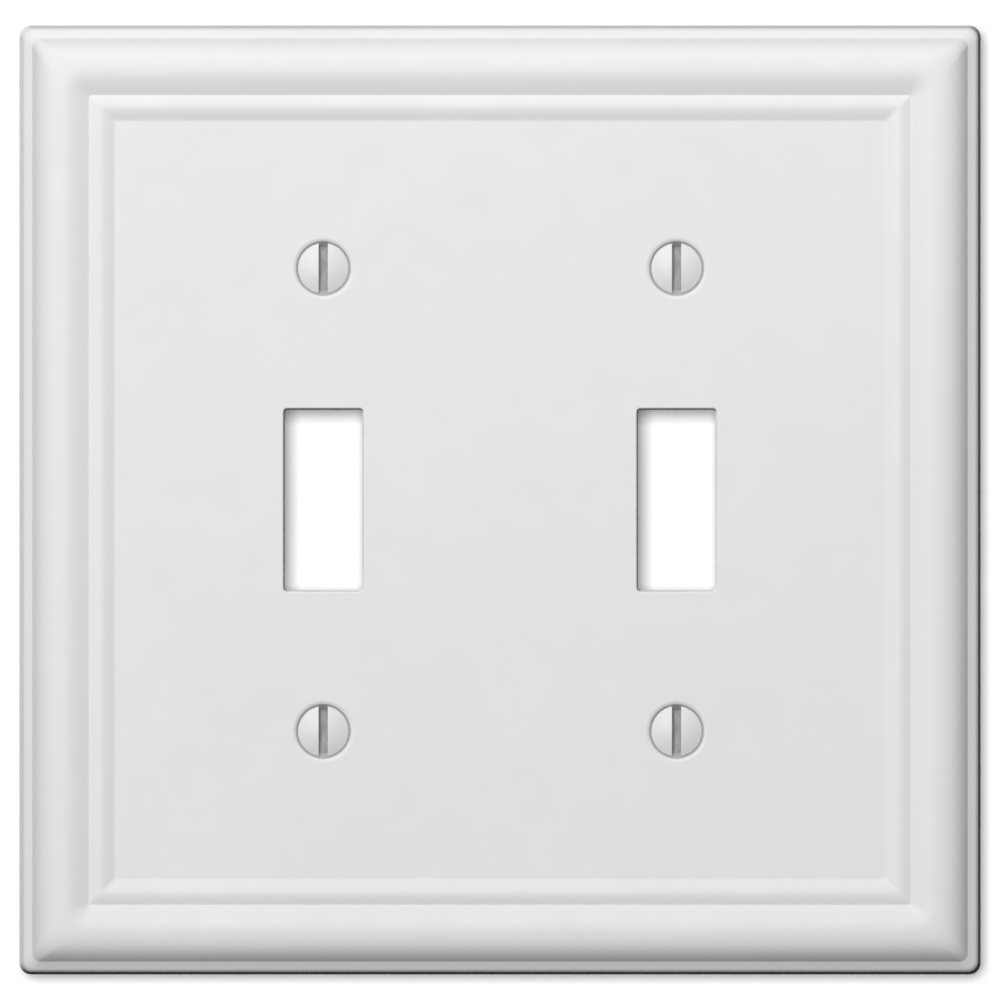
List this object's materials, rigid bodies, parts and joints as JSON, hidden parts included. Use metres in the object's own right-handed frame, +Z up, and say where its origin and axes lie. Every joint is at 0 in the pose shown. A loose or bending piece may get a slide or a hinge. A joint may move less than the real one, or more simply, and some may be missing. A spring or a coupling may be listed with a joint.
{
  "type": "toggle switch wall plate",
  "caption": "Nearly square metal wall plate with a moulded border, open toggle slots and slotted oval-head screws.",
  "frame": {"origin": "in the wall plane, behind the middle of the plate", "axes": "+Z up as installed, +Y into the wall, so the face looks towards -Y, and +X to the right of someone facing the plate"},
  "size_m": [0.1254, 0.0136, 0.1238],
  "materials": {
    "plate_enamel": "smooth satin white enamel",
    "screw_enamel": "satin white enamel on the head, zinc-plated thread"
  },
  "bodies": {
    "plate": {"wall_plate": "plate_enamel"},
    "upper_left_screw": {"upper_left_screw": "screw_enamel"},
    "upper_right_screw": {"upper_right_screw": "screw_enamel"},
    "lower_left_screw": {"lower_left_screw": "screw_enamel"},
    "lower_right_screw": {"lower_right_screw": "screw_enamel"}
  },
  "joints": [
    {"name": "upper_left_screw_turn", "type": "hinge", "parent": "plate", "child": "upper_left_screw", "pos_m": [-0.02302, -0.00532, 0.03017], "axis": [0, 1, 0], "continuous": true},
    {"name": "upper_right_screw_turn", "type": "hinge", "parent": "plate", "child": "upper_right_screw", "pos_m": [0.02302, -0.00532, 0.03017], "axis": [0, 1, 0], "continuous": true},
    {"name": "lower_left_screw_turn", "type": "hinge", "parent": "plate", "child": "lower_left_screw", "pos_m": [-0.02302, -0.00532, -0.03017], "axis": [0, 1, 0], "continuous": true},
    {"name": "lower_right_screw_turn", "type": "hinge", "parent": "plate", "child": "lower_right_screw", "pos_m": [0.02302, -0.00532, -0.03017], "axis": [0, 1, 0], "continuous": true}
  ]
}
